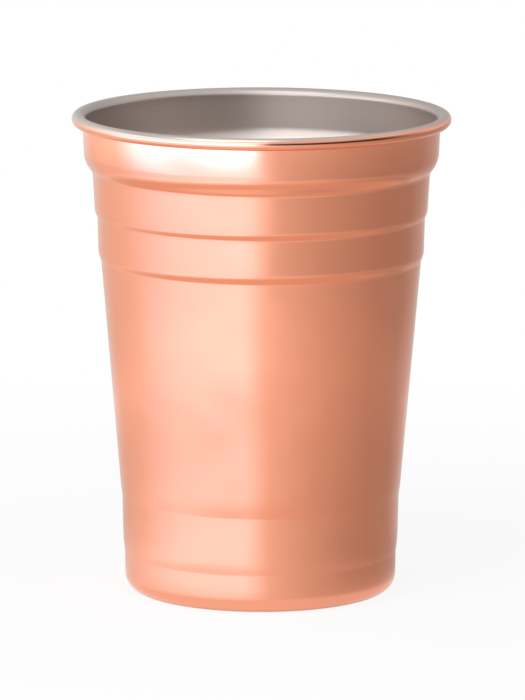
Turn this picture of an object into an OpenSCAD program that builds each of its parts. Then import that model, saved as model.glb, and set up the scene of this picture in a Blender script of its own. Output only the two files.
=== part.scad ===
// Copper tumbler: a drawn steel cup with a rolled rim, inside a thin copper jacket that follows the
// same stepped wall. Millimetres, +Z up, origin on the table at the middle of the base.

/* [Overall] */
// Height from the table to the top of the rim
height = 120; // [105:1:150]
// Outer diameter of the rolled rim
rim_d = 94; // [90:0.5:104]
// Outer diameter of the wall, carried down to the table
base_d = 67.4; // [58:0.2:74]

/* [Sheet metal] */
// Thickness of the steel
steel_t = 0.4; // [0.3:0.05:0.5]
// Thickness of the copper
copper_t = 0.2; // [0.1:0.05:0.25]
// Clearance between the steel and the copper
fit_gap = 0.02; // [0.01:0.01:0.05]

/* [Rolled rim] */
// Diameter of the hollow bead
bead_d = 3; // [2.6:0.1:4]
// How far the bead laps in over the collar's outer face
bead_lap = 0.25; // [0.1:0.05:0.5]
// How far the curl runs on under the bead's widest line, in degrees
curl_turn = 110; // [60:5:120]
// Turn over which the curl is set in to make room for the copper, in degrees
joggle_turn = 30; // [15:5:60]

/* [Collar] */
// Height of the collar, from the top of the rim to its lower edge
collar_h = 12.25; // [9:0.05:18]
// How far the collar leans in above its soft bend
collar_lean = 0.1; // [0:0.05:1]
// Height of the soft bend above the collar's lower edge
collar_bend_h = 4.75; // [3:0.05:7]
// How far the collar leans in below the soft bend
collar_low_lean = 0.3; // [0:0.05:1]
// Radius of the soft bend
collar_bend = 100; // [20:5:150]
// Radius of the collar's lower edge
collar_round = 3.6; // [1:0.1:5]
// How far the ledge under the collar goes in
ledge_in = 2; // [1:0.1:3]
// How far the ledge under the collar drops
ledge_drop = 2.05; // [1:0.05:4]
// Radius at the root of the ledge
ledge_root = 2; // [0.4:0.1:3]

/* [Upper bands] */
// Height of the band under the collar
wide_band_h = 10.35; // [6:0.05:16]
// How far that band leans in
wide_band_lean = 0.65; // [0:0.05:1.5]
// How far the step under that band goes in
wide_step_in = 0.5; // [0.3:0.05:1]
// How far the step under that band drops
wide_step_drop = 1.1; // [0.5:0.1:2]
// Radius of that band's lower edge
wide_step_round = 4; // [0.8:0.1:6]
// Radius at the root of that step
wide_step_root = 2; // [0.3:0.1:4]
// Height of the next band down
narrow_band_h = 9.45; // [6:0.05:16]
// How far the next band leans in
narrow_band_lean = 0.4; // [0:0.05:1.5]
// How far the step under the next band goes in
narrow_step_in = 0.5; // [0.3:0.05:1]
// How far the step under the next band drops
narrow_step_drop = 1.3; // [0.5:0.1:2]
// Radius of the next band's lower edge
narrow_step_round = 6; // [0.8:0.1:8]
// Radius at the root of that step
narrow_step_root = 2.5; // [0.3:0.1:4]

/* [Lower bands] */
// Height of the foot band, from the table to its upper crease
foot_h = 9.8; // [7:0.1:14]
// How far the foot band leans out over its height
foot_lean = 0.15; // [0:0.05:0.6]
// Height of the leaning part of the band above the foot
lean_band_h = 3.1; // [2:0.1:9]
// How far that part leans out
lean_band_lean = 0.1; // [0:0.05:0.8]
// Height of the upright part of that band
upright_band_h = 8.6; // [5:0.1:14]
// How far the upright part leans out
upright_band_lean = 0.2; // [0:0.05:0.8]
// Radius of the soft bend between the two parts
band_bend = 20; // [5:1:40]
// How far the wall steps out above each crease
crease_out = 0.36; // [0.05:0.01:0.6]
// Height of the step above each crease
crease_h = 2.6; // [1:0.1:4]
// Radius of the wall's soft edge above each crease
crease_round = 32; // [10:1:60]
// Radius at the root of each crease
crease_root = 5; // [0.5:0.5:8]

/* [Base] */
// Radius of the corner between the wall and the base
foot_round = 4.2; // [3:0.1:6]
// Width of the ring that the tumbler stands on
ring_w = 2; // [1.4:0.1:4]
// How far the middle of the base is pressed up
recess_h = 1.5; // [1:0.1:3]
// Radius of the bends of the pressed-up middle
recess_round = 1.2; // [0.9:0.1:2]

/* [Hidden] */
$fn = 120;
// Largest turn between two points of a rounded corner, in degrees
arc_step = 10;
// Smallest radius left on the inside of a bend
least_bend = 0.05;

wall_t = steel_t + fit_gap + copper_t;

// Rolled rim: the collar runs straight up to the crease under the bead, and its inner face rolls out over a
// wider arc, the lip, into the top of the bead
bead_r = bead_d / 2;
bead_centre = [rim_d / 2 - bead_r, height - bead_r];
tuck_r = bead_r - copper_t - fit_gap;
crease_turn = -acos(bead_lap / bead_r - 1);
crease_z = bead_centre.y + bead_r * sin(crease_turn);
lip_r = bead_r - bead_lap + wall_t;
lip_centre = [bead_centre.x, height - lip_r];

// Upper wall, from the rim down
collar_top_r = rim_d / 2 - bead_d + bead_lap;
collar_z = height - collar_h;
collar_mid_r = collar_top_r - collar_lean;
collar_mid_z = collar_z + collar_bend_h;
collar_r = collar_mid_r - collar_low_lean;
wide_top_r = collar_r - ledge_in;
wide_top_z = collar_z - ledge_drop;
wide_low_r = wide_top_r - wide_band_lean;
wide_low_z = wide_top_z - wide_band_h;
narrow_top_r = wide_low_r - wide_step_in;
narrow_top_z = wide_low_z - wide_step_drop;
narrow_low_r = narrow_top_r - narrow_band_lean;
narrow_low_z = narrow_top_z - narrow_band_h;
body_top_r = narrow_low_r - narrow_step_in;
body_top_z = narrow_low_z - narrow_step_drop;

// Lower wall, from the table up
base_r = base_d / 2;
recess_r = base_r - foot_round - ring_w;
foot_top_r = base_r + foot_lean;
band_low_r = foot_top_r + crease_out;
band_low_z = foot_h + crease_h;
band_mid_r = band_low_r + lean_band_lean;
band_mid_z = band_low_z + lean_band_h;
band_top_r = band_mid_r + upright_band_lean;
band_top_z = band_mid_z + upright_band_h;
body_low_r = band_top_r + crease_out;
body_low_z = band_top_z + crease_h;

// Corners of the outer face, from the middle of the base to the crease under the bead: radius, height and
// bend radius
outer_face = eased([
    [0, recess_h, 0],
    [recess_r - recess_h, recess_h, recess_round],
    [recess_r, 0, recess_round],
    [base_r, 0, foot_round],
    [foot_top_r, foot_h, crease_root],
    [band_low_r, band_low_z, crease_round],
    [band_mid_r, band_mid_z, band_bend],
    [band_top_r, band_top_z, crease_root],
    [body_low_r, body_low_z, crease_round],
    [body_top_r, body_top_z, narrow_step_root],
    [narrow_low_r, narrow_low_z, narrow_step_round],
    [narrow_top_r, narrow_top_z, wide_step_root],
    [wide_low_r, wide_low_z, wide_step_round],
    [wide_top_r, wide_top_z, ledge_root],
    [collar_r, collar_z, collar_round],
    [collar_mid_r, collar_mid_z, collar_bend],
    [collar_top_r, crease_z, 0]
]);

function spot(corner) = [corner[0], corner[1]];
function left(v) = [-v.y, v.x] / norm(v);
function reversed(list) = [for (i = [len(list) - 1 : -1 : 0]) list[i]];
function without_last(list) = [for (i = [0 : len(list) - 2]) list[i]];

// Run from corner i to the next one
function run(path, i) = spot(path[i + 1]) - spot(path[i]);

// Turn of the path at corner i, in degrees, positive to the left
function turn(path, i) =
    let (a = run(path, i - 1), b = run(path, i))
    atan2(cross(a, b), a * b);

// Length of run that the bend at corner i takes up
function bend_reach_at(path, i) =
    i == 0 || i == len(path) - 1 ? 0 : path[i][2] * tan(abs(turn(path, i)) / 2);

// Share of the bends at both ends of run i that the run has room for
function room(path, i) =
    let (need = bend_reach_at(path, i) + bend_reach_at(path, i + 1))
    need == 0 ? 1 : min(1, norm(run(path, i)) / need);

// The same corners, with each bend no larger than its runs have room for
function eased(path) = [
    for (i = [0 : len(path) - 1])
        let (last = len(path) - 1, share = i == 0 || i == last ? 1 : min(room(path, i - 1), room(path, i)))
        [path[i][0], path[i][1], path[i][2] * share]
];

// Corners of the parallel face at depth t, on the path's left, with bends about the same centres
function inset(path, t) = [
    for (i = [0 : len(path) - 1])
        let (
            last = len(path) - 1,
            a = left(run(path, max(i - 1, 0))),
            b = left(run(path, min(i, last - 1))),
            place = spot(path[i]) + t * (a + b) / (1 + a * b),
            bend = max(least_bend, path[i][2] - t * sign(cross(a, b)))
        )
        [place.x, place.y, path[i][2] == 0 ? 0 : bend]
];

// Points of an arc about a centre, from one angle to another
function arc(centre, r, from, to) =
    let (steps = ceil(abs(to - from) / arc_step))
    [for (k = [0 : steps]) let (a = from + (to - from) * k / steps) centre + r * [cos(a), sin(a)]];

// Points of the arc that rounds corner i
function bend_arc(path, i) =
    let (
        side = left(run(path, i - 1)),
        along = run(path, i - 1) / norm(run(path, i - 1)),
        swing = turn(path, i),
        centre = spot(path[i]) - bend_reach_at(path, i) * along + sign(swing) * path[i][2] * side,
        out = -sign(swing) * side,
        from = atan2(out.y, out.x)
    )
    arc(centre, path[i][2], from, from + swing);

// The path's points, with each corner rounded by its bend
function rounded(path) = [
    for (i = [0 : len(path) - 1])
        each path[i][2] == 0 ? [spot(path[i])] : bend_arc(path, i)
];

// Steel face that stands on the jacket: its middle is let down by the clearance
function seated(path) = [
    for (i = [0 : len(path) - 1])
        let (drop = i < 2 ? fit_gap : 0)
        [path[i][0], path[i][1] - drop, path[i][2]]
];

// Drawn cup whose lip is rolled out and down, then set in behind the copper's edge
module steel_cup() {
    outside = without_last(rounded(seated(inset(outer_face, copper_t + fit_gap))));
    inside = without_last(rounded(inset(outer_face, wall_t)));
    curl = concat(
        without_last(arc(lip_centre, lip_r - steel_t, 180, 90)),
        arc(bead_centre, bead_r - steel_t, 90, joggle_turn),
        arc(bead_centre, tuck_r - steel_t, 0, -curl_turn),
        arc(bead_centre, tuck_r, -curl_turn, 0),
        without_last(arc(bead_centre, bead_r, 0, 90)),
        arc(lip_centre, lip_r, 90, 180)
    );
    color("#b3aaa7")
        rotate_extrude()
            polygon(concat(outside, curl, reversed(inside)));
}

// Thin drawn shell round the cup, folded out at the crease and turned up round the bead as far as the bead's
// widest line
module copper_jacket() {
    outside = without_last(rounded(outer_face));
    inside = without_last(rounded(inset(outer_face, copper_t)));
    fold = [collar_top_r - copper_t, crease_z + copper_t];
    turned_up_edge = concat(
        arc(bead_centre, bead_r, crease_turn, 0),
        arc(bead_centre, bead_r - copper_t, 0, crease_turn),
        [fold]
    );
    color("#e39878")
        rotate_extrude()
            polygon(concat(outside, turned_up_edge, reversed(inside)));
}

steel_cup();
copper_jacket();
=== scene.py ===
"""Copper tumbler: a drawn steel cup in a thin copper jacket, as two turned metal sheets on a white floor.
Metres, +Z up, origin on the table at the middle of the base, front towards -Y."""

import bpy
import numpy as np
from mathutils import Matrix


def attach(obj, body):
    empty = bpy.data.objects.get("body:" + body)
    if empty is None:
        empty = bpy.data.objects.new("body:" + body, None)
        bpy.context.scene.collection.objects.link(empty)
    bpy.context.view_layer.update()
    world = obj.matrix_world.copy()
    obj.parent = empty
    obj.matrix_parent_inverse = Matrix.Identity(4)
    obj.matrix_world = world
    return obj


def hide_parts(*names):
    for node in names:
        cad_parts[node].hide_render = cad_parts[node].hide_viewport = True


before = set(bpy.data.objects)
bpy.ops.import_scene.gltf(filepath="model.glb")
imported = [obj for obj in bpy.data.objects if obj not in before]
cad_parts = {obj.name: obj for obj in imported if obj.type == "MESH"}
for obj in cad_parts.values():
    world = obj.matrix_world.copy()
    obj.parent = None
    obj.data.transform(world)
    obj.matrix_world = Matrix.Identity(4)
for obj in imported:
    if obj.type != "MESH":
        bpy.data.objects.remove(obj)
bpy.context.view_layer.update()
scene = bpy.context.scene
scene.view_settings.view_transform = "Standard"

# Camera: it stands in front of the cup and looks down on it a little. It is far off and has a long lens,
# so the cup's sides hardly converge.
CAMERA_PLACE = (0.0004, -1.6876, 0.3577)
CAMERA_TILT = np.radians(80.005)
CAMERA_ROLL = np.radians(0.157)
CAMERA_LENS = 353.98

camera_data = bpy.data.cameras.new("camera")
camera_data.lens = CAMERA_LENS
camera = bpy.data.objects.new("camera", camera_data)
camera.location = CAMERA_PLACE
camera.rotation_mode = "ZYX"
camera.rotation_euler = (CAMERA_TILT, 0, CAMERA_ROLL)
scene.collection.objects.link(camera)
scene.camera = camera

# Steel cup: drawn from stainless sheet. Its wall is rolled into steps, and its lip is curled outwards into
# a hollow bead. The inside is satin, and a trace of the copper fades out over the top of the bead.
MM = 0.001
STEEL = 0.4 * MM
COPPER = 0.2 * MM
GAP = 0.02 * MM
# Rolled rim: the bead, the wider lip inside it, and the crease where the collar meets the bead from below
RIM = 47.0 * MM
HEIGHT = 120.0 * MM
BEAD = 1.5 * MM
BEAD_LAP = 0.25 * MM
BEAD_CENTRE = np.array([RIM - BEAD, HEIGHT - BEAD])
TUCK = BEAD - COPPER - GAP
LIP = BEAD - BEAD_LAP + COPPER + GAP + STEEL
LIP_CENTRE = np.array([RIM - BEAD, HEIGHT - LIP])
CREASE_TURN = -np.degrees(np.arccos(BEAD_LAP / BEAD - 1))
CREASE = BEAD_CENTRE + BEAD * np.array([np.cos(np.radians(CREASE_TURN)), np.sin(np.radians(CREASE_TURN))])
# Degrees round the bead: where the curl ends, and where its inside starts to step in under the copper's edge
CURL_END = -110
JOGGLE = 30
# Corners of the cup's outer face, from the middle of the base up to the crease: radius, height, bend radius.
# The ledge and the two steps below it are a little softer here than in the solids
OUTER_FACE = np.concatenate([MM * np.array([
    [0, 1.5, 0],
    [26.0, 1.5, 1.2],
    [27.5, 0, 1.2],
    [33.7, 0, 4.2],
    [33.85, 9.8, 5],
    [34.21, 12.4, 32],
    [34.31, 15.5, 20],
    [34.51, 24.1, 5],
    [34.87, 26.7, 32],
    [39.72, 83.2, 3],
    [40.4, 85.05, 5],
    [40.62, 94.05, 2.5],
    [41.27, 95.6, 3.5],
    [41.833, 105.45, 3],
    [43.866, 108.0, 6.5],
    [44.15, 112.5, 100],
]), [[*CREASE, 0]]])
# Least bend radius of a parallel face, and a length that only keeps a division from being by nought
LEAST_BEND = 0.05 * MM
LEAST_RUN = 1e-9 * MM
# Step along a face that shows and along one that is covered: turn in degrees, and length
SHOWN = (3, 2.5 * MM)
COVERED = (15, 9 * MM)
# Steps round the axis, and the angle in degrees past which an edge stays sharp
TURNS = 240
SHARP_EDGE = 40


def bends(corners):
    """Each run from corner to corner, and at each inner corner the turn and the length of run that its arc
    takes up: the bend radius times the tangent of half the turn."""
    runs = np.diff(corners[:, :2], axis=0)
    heading = np.arctan2(runs[:, 1], runs[:, 0])
    turn = np.zeros(len(corners))
    turn[1:-1] = (np.diff(heading) + np.pi) % (2 * np.pi) - np.pi
    reach = corners[:, 2] * np.tan(np.abs(turn) / 2)
    return runs, turn, reach


def eased(corners):
    """The same corners, with each bend radius cut down to what the shorter of its two runs has room for."""
    runs, _, reach = bends(corners)
    room = np.hypot(*runs.T) / np.maximum(reach[:-1] + reach[1:], LEAST_RUN)
    share = np.minimum(1, np.minimum(room[:-1], room[1:]))
    result = corners.copy()
    result[1:-1, 2] *= share
    return result


def inset(corners, depth):
    """Corners of the parallel face at a depth to the left of the path: each moves along the sum of its two
    runs' left normals, and its bend keeps its centre."""
    runs, turn, _ = bends(corners)
    left = np.stack([-runs[:, 1], runs[:, 0]], axis=1) / np.hypot(*runs.T)[:, None]
    before = np.concatenate([left[:1], left])
    after = np.concatenate([left, left[-1:]])
    shift = depth * (before + after) / (1 + (before * after).sum(axis=1, keepdims=True))
    bend = np.where(corners[:, 2] > 0, np.maximum(LEAST_BEND, corners[:, 2] - depth * np.sign(turn)), 0)
    return np.column_stack([corners[:, :2] + shift, bend])


def arc(centre, radius, start, end, step):
    """Points on a circle from one angle to another, in degrees, no further apart than the step."""
    angle = np.radians(np.linspace(start, end, int(np.ceil(abs(end - start) / step)) + 1))
    return centre + radius * np.column_stack([np.cos(angle), np.sin(angle)])


def length_along(points):
    """Length of the path from its first point to each of its points."""
    return np.concatenate([[0], np.cumsum(np.hypot(*np.diff(points, axis=0).T))])


def rounded(corners, step):
    """Points along the path through the corners. Each corner becomes an arc that touches both its runs, and
    each straight run is split evenly."""
    turn_step, length_step = step
    runs, turn, reach = bends(corners)
    pieces = [corners[:1, :2]]
    for k in range(1, len(corners) - 1):
        along = runs[k - 1] / np.hypot(*runs[k - 1])
        side = np.sign(turn[k]) * np.array([-along[1], along[0]])
        centre = corners[k, :2] - reach[k] * along + corners[k, 2] * side
        start = np.degrees(np.arctan2(-side[1], -side[0]))
        pieces.append(arc(centre, corners[k, 2], start, start + np.degrees(turn[k]), turn_step))
    pieces.append(corners[-1:, :2])
    points = np.concatenate(pieces)
    place = length_along(points)
    parts = np.maximum(1, np.ceil(np.diff(place) / length_step)).astype(int)
    split = np.concatenate([np.linspace(a, b, n, endpoint=False) for a, b, n in zip(place, place[1:], parts)])
    split = np.append(split, place[-1])
    return np.column_stack([np.interp(split, place, points[:, 0]), np.interp(split, place, points[:, 1])])


def rings(profile, angle):
    """Points of a profile turned round the Z axis, ring by ring: the point at angle a lies at (radius sin a,
    -radius cos a, height). With them come each point's number and that of the next one round its ring."""
    radius, height = profile[:, :1], profile[:, 1:]
    points = np.stack(np.broadcast_arrays(radius * np.sin(angle), -radius * np.cos(angle), height), axis=-1)
    number = np.arange(len(profile) * len(angle)).reshape(len(profile), len(angle))
    return points.reshape(-1, 3), number, np.roll(number, -1, axis=1)


def paint(mesh, name, values):
    """Puts one number on each vertex, for the material to read."""
    layer = mesh.attributes.new(name, "FLOAT", "POINT")
    layer.data.foreach_set("value", np.asarray(values, dtype=np.float32))


def turned(name, profile):
    """Sheet made by turning a profile round the Z axis. The profile starts and ends on the axis, where one
    vertex closes a fan of triangles. Each vertex carries its length along the profile."""
    points, number, beside = rings(profile[1:-1], np.arange(TURNS) * 2 * np.pi / TURNS)
    poles = [[0, 0, profile[0, 1]], [0, 0, profile[-1, 1]]]
    vertices = np.concatenate([points, poles])
    quads = np.stack([number[:-1], beside[:-1], beside[1:], number[1:]], axis=-1).reshape(-1, 4)
    first_fan = np.column_stack([np.full(TURNS, number.size), beside[0], number[0]])
    last_fan = np.column_stack([np.full(TURNS, number.size + 1), number[-1], beside[-1]])
    mesh = bpy.data.meshes.new(name)
    mesh.from_pydata(vertices.tolist(), [], quads.tolist() + first_fan.tolist() + last_fan.tolist())
    mesh.shade_smooth()
    mesh.set_sharp_from_angle(angle=np.radians(SHARP_EDGE))
    along = length_along(profile)
    paint(mesh, "along", np.append(np.repeat(along[1:-1], TURNS), [along[0], along[-1]]))
    piece = bpy.data.objects.new(name, mesh)
    scene.collection.objects.link(piece)
    return piece


def part_way(value, span):
    """How far a value has come from the first end of a span to the last: nought before it, one past it."""
    return np.clip((value - span[0]) / (span[1] - span[0]), 0, 1)


def add(tree, kind, values=None, **settings):
    """Adds a shader node with its settings. An input given as a socket is linked, and a number is set."""
    node = tree.nodes.new(kind)
    for key, setting in settings.items():
        setattr(node, key, setting)
    for key, value in (values or {}).items():
        if isinstance(value, bpy.types.NodeSocket):
            tree.links.new(value, node.inputs[key])
        else:
            node.inputs[key].default_value = value
    return node


def painted(tree, name):
    """The number that was painted on the vertices under a name, and nought where none was."""
    return add(tree, "ShaderNodeAttribute", attribute_name=name).outputs["Fac"]


def reckoned(tree, operation, first, second):
    """Two numbers put together by one step of arithmetic."""
    return add(tree, "ShaderNodeMath", {0: first, 1: second}, operation=operation).outputs[0]


def mapped(tree, value, span, result, **settings):
    """Number that goes from the first to the last of the result as a value goes through the span."""
    return add(tree, "ShaderNodeMapRange", {
        "Value": value, "From Min": span[0], "From Max": span[-1], "To Min": result[0], "To Max": result[-1],
    }, **settings).outputs[0]


# Satin finish. Clouds: their scale per metre, the part of the noise that counts, and what it does to the
# shade and to the roughness. Rubbing marks: their scale per metre round the cup, and across the marks
CLOUD_SCALE = 26.0
CLOUD_DETAIL = 2.0
CLOUD_SPAN = (0.3, 0.7)
CLOUD_SHADE = (0.975, 1.025)
CLOUD_ROUGHNESS = (0.02, -0.02)
MARKS_ROUND = 25.0
MARKS_ACROSS = 2600.0
MARKS_DETAIL = 3.0


def satin_metal(name, tone, roughness, rub, wave):
    """Sheet metal with a satin finish. Its colour and gloss drift in soft clouds a few centimetres wide, its
    surface is a little uneven, and fine rubbing marks run round the axis. The tone is a colour, or a pair of
    colours to fade between by the attribute film, and a painted shade laid on by an attribute darkens it; the
    roughness goes from its first value to its last by the attribute satin. Rub and wave are depths in metres."""
    material = bpy.data.materials.new(name)
    material.use_nodes = True
    tree = material.node_tree
    shader = tree.nodes["Principled BSDF"]
    place = add(tree, "ShaderNodeTexCoord").outputs["Object"]
    apart = add(tree, "ShaderNodeSeparateXYZ", {0: place})
    stretched = add(tree, "ShaderNodeCombineXYZ", {
        "X": reckoned(tree, "MULTIPLY", apart.outputs["X"], MARKS_ROUND),
        "Y": reckoned(tree, "MULTIPLY", apart.outputs["Y"], MARKS_ROUND),
        "Z": reckoned(tree, "MULTIPLY", painted(tree, "along"), MARKS_ACROSS),
    }).outputs[0]
    marks = add(tree, "ShaderNodeTexNoise", {
        "Vector": stretched, "Scale": 1.0, "Detail": MARKS_DETAIL}).outputs["Fac"]
    clouds = add(tree, "ShaderNodeTexNoise", {
        "Vector": place, "Scale": CLOUD_SCALE, "Detail": CLOUD_DETAIL}).outputs["Fac"]
    metal = add(tree, "ShaderNodeMix", {
        "Factor": painted(tree, "film"), "A": (*tone[0], 1), "B": (*tone[-1], 1)}, data_type="RGBA")
    # Painted shade: where it lies, the lip's colour is darkened
    unshaded_share = reckoned(tree, "SUBTRACT", 1.0, painted(tree, "painted_lip_shade"))
    shade = reckoned(tree, "MULTIPLY", mapped(tree, clouds, CLOUD_SPAN, CLOUD_SHADE), unshaded_share)
    mottled = add(tree, "ShaderNodeVectorMath", {
        0: metal.outputs["Result"], "Scale": shade}, operation="SCALE")
    even_roughness = mapped(tree, painted(tree, "satin"), (0, 1), roughness)
    drift = mapped(tree, clouds, CLOUD_SPAN, CLOUD_ROUGHNESS)
    uneven = add(tree, "ShaderNodeBump", {"Height": clouds, "Strength": 1.0, "Distance": wave})
    rubbed = add(tree, "ShaderNodeBump", {
        "Height": marks, "Strength": 1.0, "Distance": rub, "Normal": uneven.outputs[0]})
    tree.links.new(mottled.outputs[0], shader.inputs["Base Color"])
    tree.links.new(reckoned(tree, "ADD", even_roughness, drift), shader.inputs["Roughness"])
    tree.links.new(rubbed.outputs[0], shader.inputs["Normal"])
    shader.inputs["Metallic"].default_value = 1.0
    return material


STEEL_TONE = (0.55, 0.49, 0.46)
COPPER_TONE = (0.92, 0.385, 0.245)
# The smooth outside of the bead and the satin lip and inside, and the degrees round the bead between them
STEEL_ROUGHNESS = (0.18, 0.38)
SATIN = (25, 70)
STEEL_RUB = 1e-6
STEEL_WAVE = 1e-4
# Painted shade on the lip: its colour is darker than the inside's by this share, which dims its reflection
# of the light above. It fades out over this depth below the bead
LIP_PAINTED_SHADE = 0.13
LIP_DEPTH = 1.5 * MM
# The copper's trace on the lip: how far up the bead it reaches in full and where it ends, in degrees, at the
# left and at the right of the front, and how far from the middle each of them starts
TRACE_FULL = (4, 20)
TRACE_END = (34, 95)
TRACE_SIDES = (-0.3 * RIM, 0.3 * RIM)
# Degrees round the bead between which its outer skin can carry the trace
BEAD_SKIN = (-1, 100)

# The steel's base panel stands on the jacket's, so there the clearance is taken back
outer_face = eased(OUTER_FACE)
steel_outside = inset(outer_face, COPPER + GAP)
steel_outside[:2, 1] -= GAP
steel_profile = np.concatenate([
    rounded(steel_outside, COVERED)[:-1],
    arc(LIP_CENTRE, LIP - STEEL, 180, 90, COVERED[0])[:-1],
    arc(BEAD_CENTRE, BEAD - STEEL, 90, JOGGLE, COVERED[0]),
    arc(BEAD_CENTRE, TUCK - STEEL, 0, CURL_END, COVERED[0]),
    arc(BEAD_CENTRE, TUCK, CURL_END, 0, COVERED[0]),
    arc(BEAD_CENTRE, BEAD, 0, 90, SHOWN[0])[:-1],
    arc(LIP_CENTRE, LIP, 90, 180, SHOWN[0]),
    rounded(inset(outer_face, COPPER + GAP + STEEL), SHOWN)[-2::-1],
])
steel_cup = turned("steel_cup_sheet", steel_profile)
steel_places = np.empty(len(steel_cup.data.vertices) * 3)
steel_cup.data.vertices.foreach_get("co", steel_places)
steel_places = steel_places.reshape(-1, 3)
steel_reach = np.hypot(steel_places[:, 0], steel_places[:, 1]) - BEAD_CENTRE[0]
steel_rise = steel_places[:, 2] - BEAD_CENTRE[1]
bead_turn = np.degrees(np.arctan2(steel_rise, steel_reach))
to_the_right = part_way(steel_places[:, 0], TRACE_SIDES)
trace_full = TRACE_FULL[0] + np.ptp(TRACE_FULL) * to_the_right
trace_end = TRACE_END[0] + np.ptp(TRACE_END) * to_the_right
on_the_skin = np.hypot(steel_reach, steel_rise) > BEAD - STEEL / 2
on_the_bead = on_the_skin & (bead_turn > BEAD_SKIN[0]) & (bead_turn < BEAD_SKIN[1])
film = part_way(bead_turn, (trace_end, trace_full)) ** 2 * on_the_bead
lip_share = part_way(steel_places[:, 2], (LIP_CENTRE[1] - LIP_DEPTH, LIP_CENTRE[1]))
paint(steel_cup.data, "film", film)
# Painted shade on the lip: its colour is darkened to dim its reflection of the light above, fading out below
# the bead and under the copper trace
paint(steel_cup.data, "painted_lip_shade", LIP_PAINTED_SHADE * lip_share * (1 - film))
paint(steel_cup.data, "satin", part_way(np.abs(bead_turn), SATIN))
steel_cup.data.materials.append(satin_metal(
    "satin_steel", (STEEL_TONE, COPPER_TONE), STEEL_ROUGHNESS, STEEL_RUB, STEEL_WAVE))
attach(steel_cup, "root")
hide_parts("steel_cup")

# Copper jacket: a thin drawn shell that follows the cup's steps from the base to the rim, where it is folded
# out at the crease and its edge is turned up round the bead. It is satin-polished on the outside.
COPPER_ROUGHNESS = 0.17
COPPER_RUB = 1.5e-6
COPPER_WAVE = 9e-4

jacket_profile = np.concatenate([
    rounded(outer_face, SHOWN)[:-1],
    arc(BEAD_CENTRE, BEAD, CREASE_TURN, 0, SHOWN[0]),
    arc(BEAD_CENTRE, BEAD - COPPER, 0, CREASE_TURN, COVERED[0]),
    [CREASE + COPPER * np.array([-1, 1])],
    rounded(inset(outer_face, COPPER), COVERED)[-2::-1],
])
copper_jacket = turned("copper_jacket_sheet", jacket_profile)
copper_jacket.data.materials.append(satin_metal(
    "satin_copper", (COPPER_TONE,), (COPPER_ROUGHNESS,), COPPER_RUB, COPPER_WAVE))
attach(copper_jacket, "root")
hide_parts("copper_jacket")

# Floor: a plain white table top, so wide that it fills the view. Far from the cup it is plain white to the
# camera and in reflections; near the cup it also takes the lamps' light and the cup's soft shadow.
FLOOR_RADIUS = 6.0
FLOOR_SIDES = 64
FLOOR_WHITE = (0.9, 0.9, 0.9, 1)
# Share of the floor's look that the lamps give near the cup, and the reach from the axis over which it fades
SHADOW_SHARE = 0.1
SHADOW_REACH = (0.08, 0.3)


def white_to_the_eye(tree):
    """One for a ray from the camera, or one that a metal or a glass sends on, and nought for any other."""
    path = add(tree, "ShaderNodeLightPath").outputs
    seen = reckoned(tree, "MAXIMUM", path["Is Camera Ray"], path["Is Glossy Ray"])
    return reckoned(tree, "MAXIMUM", seen, path["Is Transmission Ray"])


floor_mesh = bpy.data.meshes.new("floor")
floor_turn = np.linspace(0, 2 * np.pi, FLOOR_SIDES, endpoint=False)
floor_rim = FLOOR_RADIUS * np.column_stack([np.cos(floor_turn), np.sin(floor_turn), np.zeros(FLOOR_SIDES)])
floor_mesh.from_pydata(floor_rim.tolist(), [], [list(range(FLOOR_SIDES))])
floor = bpy.data.objects.new("floor", floor_mesh)
scene.collection.objects.link(floor)
floor_paint = bpy.data.materials.new("white_floor")
floor_paint.use_nodes = True
floor_tree = floor_paint.node_tree
floor_tree.nodes.remove(floor_tree.nodes["Principled BSDF"])
from_middle = add(floor_tree, "ShaderNodeVectorMath", {
    0: add(floor_tree, "ShaderNodeTexCoord").outputs["Object"]}, operation="LENGTH").outputs["Value"]
white_share = mapped(floor_tree, from_middle, SHADOW_REACH, (1 - SHADOW_SHARE, 1))
lit_floor = add(floor_tree, "ShaderNodeBsdfDiffuse", {"Color": FLOOR_WHITE})
white_floor = add(floor_tree, "ShaderNodeEmission", {"Strength": 1.0})
floor_mix = add(floor_tree, "ShaderNodeMixShader", {
    0: reckoned(floor_tree, "MULTIPLY", white_share, white_to_the_eye(floor_tree)),
    1: lit_floor.outputs[0],
    2: white_floor.outputs[0]})
floor_tree.links.new(floor_mix.outputs[0], floor_tree.nodes["Material Output"].inputs["Surface"])
floor_mesh.materials.append(floor_paint)

# Light tent: white cloth that sweeps up from a polished white board round the cup to a flat roof. Only the
# metal sees it. A tall cool soft light shines through it at the front left, it is dim and warm towards the
# right, and a dark gap is open over the right front.
TENT_RADIUS = 0.2
TENT_TOP = 0.3
TENT_SWEEP = 0.03
# The board starts under the cup's foot and lies just over the floor, and the roof leaves a pinhole on the axis
TENT_FOOT = 0.0285
TENT_BASE = 0.0004
TENT_PINHOLE = 0.001
# Step along the tent's line, as turn in degrees and length, and round the tent in degrees
TENT_STEP = (6, 0.002)
TENT_TURN_STEP = 1.0
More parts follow.
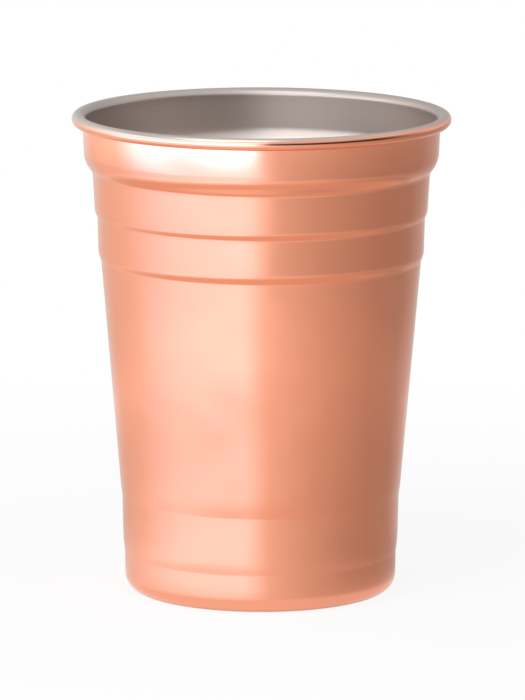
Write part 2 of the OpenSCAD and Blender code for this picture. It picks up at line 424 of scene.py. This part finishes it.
# Brightness round the tent: angle to the right of the front in degrees, then the levels in the board's
# polish, low on the cloth, where the upper bands see it, where the collar sees it, above that, on the board
# near the cup and further out, and how warm the light is there
TENT_LEVELS = np.array([
    [-180, 0.80, 0.80, 0.85, 0.85, 0.65, 0.85, 0.85, 0.2],
    [-156, 0.72, 0.77, 0.80, 0.95, 0.95, 0.85, 0.85, 0.5],
    [-130, 0.81, 0.84, 0.90, 1.05, 1.25, 0.82, 0.82, 1.0],
    [-100, 1.02, 0.97, 0.99, 1.50, 1.85, 0.88, 0.86, 0.1],
    [-80, 1.20, 1.12, 1.13, 2.10, 2.10, 0.98, 0.91, -0.8],
    [-60, 1.40, 1.30, 1.30, 2.60, 2.10, 1.03, 0.94, -1.0],
    [-40, 1.50, 1.40, 1.40, 2.90, 2.20, 1.05, 0.95, -1.0],
    [-12, 1.52, 1.44, 1.46, 3.40, 2.40, 1.04, 0.93, -1.0],
    [-5, 1.30, 1.25, 1.44, 3.10, 2.40, 1.02, 0.93, -0.8],
    [1, 1.08, 1.07, 1.28, 1.42, 2.00, 0.96, 0.92, -0.3],
    [4, 0.98, 0.99, 1.11, 1.12, 1.00, 0.93, 0.92, 0.0],
    [9, 0.92, 0.95, 0.88, 1.02, 0.95, 0.90, 0.90, 0.2],
    [22, 0.81, 0.86, 0.75, 0.95, 0.95, 0.80, 0.84, 0.6],
    [40, 0.67, 0.73, 0.63, 0.80, 0.90, 0.66, 0.78, 0.9],
    [60, 0.53, 0.60, 0.53, 0.65, 0.85, 0.62, 0.72, 1.0],
    [85, 0.46, 0.49, 0.44, 0.54, 1.05, 0.60, 0.70, 1.0],
    [115, 0.47, 0.45, 0.42, 0.48, 0.95, 0.57, 0.70, 0.8],
    [145, 0.62, 0.60, 0.56, 0.58, 0.70, 0.70, 0.76, 0.4],
    [180, 0.80, 0.80, 0.85, 0.85, 0.65, 0.85, 0.85, 0.2],
])
# Heights over which each level on the cloth gives way to the next, and the level in the roof
LOW_TO_BAND = (0.018, 0.04)
BAND_TO_COLLAR = (0.0732, 0.0868)
COLLAR_TO_HIGH = (0.116, 0.128)
HIGH_TO_ROOF = (0.25, 0.29)
ROOF_LEVEL = 0.95
# The dark gap: how deep it is round the tent by degrees, and its share up the tent by height
GAP_ROUND = ((-2, 4, 70, 115), (0, 0.95, 0.95, 0))
GAP_UP = ((0.096, 0.104, 0.165, 0.22), (0, 1, 1, 0))
# Tints of the cool and the warm light, how much cooler it is where the collar sees it, and the share of the
# change from band to collar at which it is as cool as that
COOL = np.array([1.0, 1.13, 1.36])
WARM = np.array([1.0, 0.9, 0.83])
COLLAR_COOLER = 2.5
COLLAR_COOL_BY = 1 / 3
# Reach from the axis over which the level in the polish gives way to the low one, and over which the board
# itself gives way to the cloth, and the extra glow on the cloth's sweep
POLISH_TO_LOW = (0.105, 0.135)
BOARD_TO_CLOTH = (0.14, 0.172)
SWEEP_GLOW = 0.15
SWEEP_WIDTH = 0.014
# A steep ray meets the board itself, warmed by the copper; a flat ray meets the tent's glow mirrored in its
# polish. Between them, how edge-on the ray is: one less the sine of its slope. Close to the cup, over the
# last reach, the mirror fades
BOARD_NEAR_TINT = np.array([1.0, 0.93, 0.90])
BOARD_FAR_TINT = np.array([1.0, 0.79, 0.67])
BOARD_NEAR_TO_FAR = (0.07, 0.09)
BOARD_MIRRORS = (0.48, 0.69)
BOARD_CLEAR = (0.036, 0.060)
# Right round the foot the board is whiter: the reach of that, its level, and the share of the near level
# that is kept. Inside the last reach the board is in the cup's shade, at a lower level
BOARD_WHITE = (0.047, 0.039)
WHITE_LEVEL = 0.62
WHITE_KEEPS = 0.39
BOARD_SHADE = (0.0300, 0.0325)
SHADE_LEVEL = 0.35

tent_line = rounded(np.array([
    [TENT_FOOT, TENT_BASE, 0],
    [TENT_RADIUS, TENT_BASE, TENT_SWEEP],
    [TENT_RADIUS, TENT_TOP, TENT_SWEEP],
    [TENT_PINHOLE, TENT_TOP, 0],
]), TENT_STEP)
tent_degrees = np.arange(-180, 180, TENT_TURN_STEP)
tent_places, tent_number, tent_beside = rings(tent_line, np.radians(tent_degrees))
tent_faces = np.stack([tent_number[:-1], tent_number[1:], tent_beside[1:], tent_beside[:-1]], axis=-1)
tent_radius, tent_height = tent_line[:, :1], tent_line[:, 1:]
on_the_wall = tent_height > TENT_SWEEP

# The tent's glow: the levels follow each other up the tent, then the gap is cut out and the tint laid on
polish, low, band, collar, high, near, far, warmth = (
    np.interp(tent_degrees, TENT_LEVELS[:, 0], level) for level in TENT_LEVELS.T[1:])
to_band, to_collar, to_high, to_roof = (
    part_way(tent_height, span) for span in (LOW_TO_BAND, BAND_TO_COLLAR, COLLAR_TO_HIGH, HIGH_TO_ROOF))
to_low = np.where(on_the_wall, 1, part_way(tent_radius, POLISH_TO_LOW))
sweep_middle = TENT_RADIUS - TENT_FOOT - TENT_SWEEP + TENT_SWEEP * np.pi / 4
from_the_sweep = (length_along(tent_line)[:, None] - sweep_middle) / SWEEP_WIDTH
tent_level = (polish + (low - polish) * to_low) * (1 + SWEEP_GLOW * np.exp(-from_the_sweep ** 2))
for level, before, share in ((band, low, to_band), (collar, band, to_collar), (high, collar, to_high),
                             (ROOF_LEVEL, high, to_roof)):
    tent_level = tent_level + (level - before) * share
tent_level *= 1 - np.interp(tent_degrees, *GAP_ROUND) * np.interp(tent_height, *GAP_UP)
collar_cool = 1 + COLLAR_COOLER * part_way(to_collar, (0, COLLAR_COOL_BY))
cool = np.maximum(-warmth, 0) * collar_cool * (1 - to_high)
tint = 1 + np.maximum(warmth, 0)[:, None] * (WARM - 1) + cool[..., None] * (COOL - 1)
tint = 1 + (tint - 1) * (1 - to_roof)[..., None]
opaque = np.ones((*tent_level.shape, 1))
tent_glow = np.concatenate([tent_level[..., None] * tint, opaque], axis=-1)

# The board's own light: white at the foot, shaded under the cup, and warmer further out
at_the_foot = part_way(tent_radius, BOARD_WHITE)
in_the_open = SHADE_LEVEL + (1 - SHADE_LEVEL) * part_way(tent_radius, BOARD_SHADE)
near_level = (near + (WHITE_LEVEL + (WHITE_KEEPS - 1) * near) * at_the_foot) * in_the_open
far_share = part_way(tent_radius, BOARD_NEAR_TO_FAR)[..., None]
near_colour = near_level[..., None] * BOARD_NEAR_TINT
far_colour = far[:, None] * BOARD_FAR_TINT
board_glow = np.concatenate([(1 - far_share) * near_colour + far_share * far_colour, opaque], axis=-1)
upright = np.where(on_the_wall, 1, part_way(tent_radius, BOARD_TO_CLOTH))
clear = part_way(tent_radius, BOARD_CLEAR)

tent_mesh = bpy.data.meshes.new("light_tent")
tent_mesh.from_pydata(tent_places.tolist(), [], tent_faces.reshape(-1, 4).tolist())
for layer, colours in (("glow", tent_glow), ("board", board_glow)):
    tent_mesh.attributes.new(layer, "FLOAT_COLOR", "POINT").data.foreach_set("color", colours.ravel())
for layer, shares in (("upright", upright), ("clear", clear)):
    paint(tent_mesh, layer, np.broadcast_to(shares, tent_level.shape).ravel())
tent = bpy.data.objects.new("light_tent", tent_mesh)
scene.collection.objects.link(tent)
tent_cloth = bpy.data.materials.new("tent_cloth")
tent_cloth.use_nodes = True
tent_tree = tent_cloth.node_tree
tent_tree.nodes.remove(tent_tree.nodes["Principled BSDF"])
edge_on = add(tent_tree, "ShaderNodeLayerWeight", {"Blend": 0.5}).outputs["Facing"]
mirrored = mapped(tent_tree, edge_on, BOARD_MIRRORS, (0, 1), interpolation_type="SMOOTHSTEP")
board_mirrors = reckoned(tent_tree, "MULTIPLY", mirrored, painted(tent_tree, "clear"))
seen_glow = add(tent_tree, "ShaderNodeMix", {
    "Factor": reckoned(tent_tree, "MAXIMUM", board_mirrors, painted(tent_tree, "upright")),
    "A": add(tent_tree, "ShaderNodeAttribute", attribute_name="board").outputs["Color"],
    "B": add(tent_tree, "ShaderNodeAttribute", attribute_name="glow").outputs["Color"]}, data_type="RGBA")
tent_light = add(tent_tree, "ShaderNodeEmission", {"Color": seen_glow.outputs["Result"], "Strength": 1.0})
tent_tree.links.new(tent_light.outputs[0], tent_tree.nodes["Material Output"].inputs["Surface"])
tent_mesh.materials.append(tent_cloth)
tent.visible_camera = False
tent.visible_diffuse = False
tent.visible_transmission = False
tent.visible_shadow = False

# Lamps and room: a soft panel under the tent's roof, over the front left, and a big one at the front left for
# the floor, in whose place the metal sees the bright part of the tent. The room is plain white to the eye and
# lights the floor weakly.
ROOM_WHITE = (1, 1, 1, 1)
ROOM_LIGHT = 0.45
# Each lamp: place, aim, width and height, watts, and whether the metal sees it
LAMPS = {
    "overhead_panel": ((-0.0575, -0.085, 0.285), (-0.0575, -0.085, 0), (0.145, 0.13), 0.105, True),
    "front_left_panel": ((-0.45, -0.75, 0.5), (0, 0, 0.05), (0.5, 0.8), 6.0, False),
}

for lamp_name, (place, aim, size, power, in_the_metal) in LAMPS.items():
    lamp_data = bpy.data.lights.new(lamp_name, "AREA")
    lamp_data.shape = "RECTANGLE"
    lamp_data.size, lamp_data.size_y = size
    lamp_data.energy = power
    lamp = bpy.data.objects.new(lamp_name, lamp_data)
    lamp.location = place
    direction = np.array(aim) - np.array(place)
    lamp.rotation_euler = (np.arctan2(np.hypot(direction[0], direction[1]), -direction[2]), 0,
                           np.arctan2(-direction[0], direction[1]))
    lamp.visible_camera = False
    lamp.visible_glossy = in_the_metal
    scene.collection.objects.link(lamp)

room = bpy.data.worlds.new("white_room")
room.use_nodes = True
room_tree = room.node_tree
room_strength = mapped(room_tree, white_to_the_eye(room_tree), (0, 1), (ROOM_LIGHT, 1))
room_tree.nodes["Background"].inputs["Color"].default_value = ROOM_WHITE
room_tree.links.new(room_strength, room_tree.nodes["Background"].inputs["Strength"])
scene.world = room
